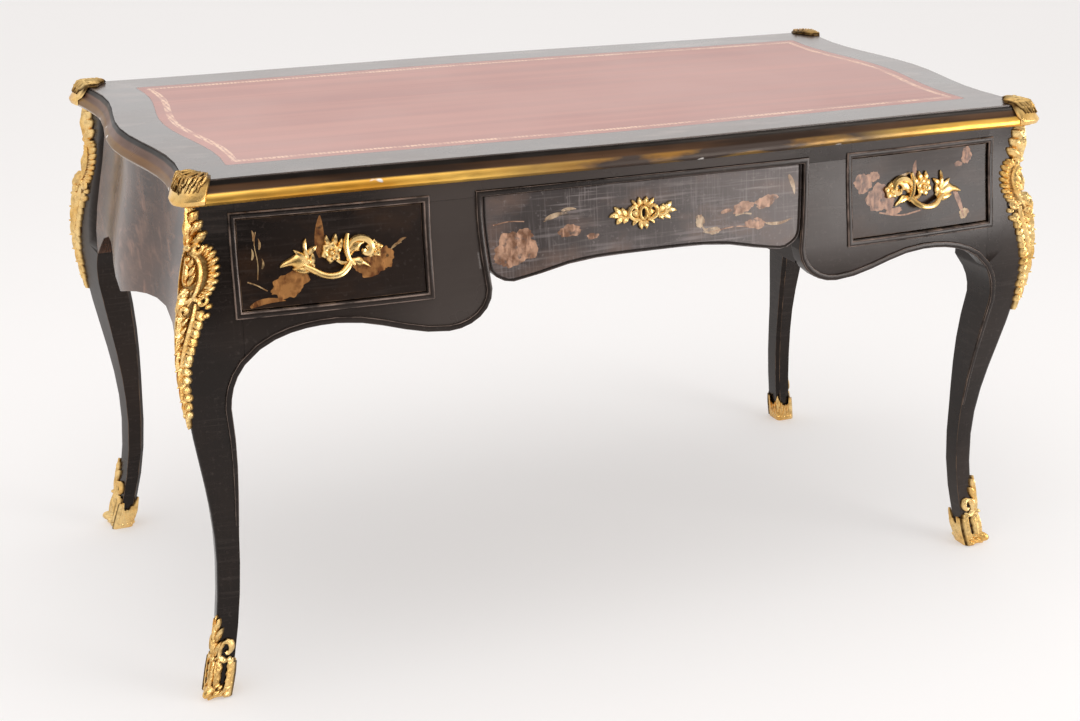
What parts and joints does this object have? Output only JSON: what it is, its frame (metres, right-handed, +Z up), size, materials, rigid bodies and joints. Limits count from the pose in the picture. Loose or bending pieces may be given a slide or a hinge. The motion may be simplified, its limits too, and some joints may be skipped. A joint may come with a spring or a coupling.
{
  "type": "writing table",
  "caption": "Serpentine writing table with a leather-lined top, sliding frieze drawers, a drawer lock, cabriole legs and cast foliate mounts.",
  "frame": {"origin": "on the floor under the middle of the table", "axes": "+X along the length to the right as seen from the front, +Y to the back, +Z up; the front faces -Y"},
  "size_m": [1.4214, 0.721, 0.7731],
  "materials": {
    "black_lacquer": "worn black lacquer, satin",
    "rose_leather": "faded rose leather with a tooled border",
    "gilt_wood": "worn gilding on a dark moulding",
    "gilt_bronze": "cast and gilt, burnished",
    "oak": "bare oak",
    "lock_steel": "filed steel"
  },
  "bodies": {
    "carcase": {"back_panel": "black_lacquer", "corner_mount_back_left": "gilt_bronze", "corner_mount_back_right": "gilt_bronze", "corner_mount_front_left": "gilt_bronze", "corner_mount_front_right": "gilt_bronze", "drawer_bead_left": "black_lacquer", "drawer_bead_right": "black_lacquer", "drawer_centre_runner_left": "oak", "drawer_centre_runner_right": "oak", "drawer_left_runner_left": "oak", "drawer_left_runner_right": "oak", "drawer_right_runner_left": "oak", "drawer_right_runner_right": "oak", "edge_moulding_back": "gilt_wood", "edge_moulding_front": "gilt_wood", "edge_moulding_left": "gilt_wood", "edge_moulding_right": "gilt_wood", "front_apron_left": "black_lacquer", "front_apron_right": "black_lacquer", "front_edge_bead": "black_lacquer", "front_top_rail": "black_lacquer", "kneehole_wall_left": "black_lacquer", "kneehole_wall_right": "black_lacquer", "leather_inset": "rose_leather", "leg_back_left": "black_lacquer", "leg_back_right": "black_lacquer", "leg_front_left": "black_lacquer", "leg_front_right": "black_lacquer", "leg_mount_back_left": "gilt_bronze", "leg_mount_back_right": "gilt_bronze", "leg_mount_front_left": "gilt_bronze", "leg_mount_front_right": "gilt_bronze", "sabot_back_left": "gilt_bronze", "sabot_back_right": "gilt_bronze", "sabot_front_left": "gilt_bronze", "sabot_front_right": "gilt_bronze", "side_panel_left": "black_lacquer", "side_panel_right": "black_lacquer", "top_board": "black_lacquer"},
    "drawer_left": {"drawer_left_back": "oak", "drawer_left_bottom": "oak", "drawer_left_front": "black_lacquer", "drawer_left_pull": "gilt_bronze", "drawer_left_side_left": "oak", "drawer_left_side_right": "oak"},
    "drawer_centre": {"drawer_centre_back": "oak", "drawer_centre_bottom": "oak", "drawer_centre_front": "black_lacquer", "drawer_centre_side_left": "oak", "drawer_centre_side_right": "oak", "escutcheon": "gilt_bronze", "lock_case": "lock_steel"},
    "drawer_right": {"drawer_right_back": "oak", "drawer_right_bottom": "oak", "drawer_right_front": "black_lacquer", "drawer_right_pull": "gilt_bronze", "drawer_right_side_left": "oak", "drawer_right_side_right": "oak"},
    "lock_bolt": {"lock_bolt": "lock_steel"}
  },
  "joints": [
    {"name": "drawer_left_slide", "type": "slide", "parent": "carcase", "child": "drawer_left", "axis": [0, -1, 0], "range_m": [0, 0.32]},
    {"name": "drawer_centre_slide", "type": "slide", "parent": "carcase", "child": "drawer_centre", "axis": [0, -1, 0], "range_m": [0, 0.32]},
    {"name": "drawer_right_slide", "type": "slide", "parent": "carcase", "child": "drawer_right", "axis": [0, -1, 0], "range_m": [0, 0.32]},
    {"name": "lock_bolt_slide", "type": "slide", "parent": "drawer_centre", "child": "lock_bolt", "axis": [0, 0, 1], "range_m": [0, 0.009]}
  ]
}
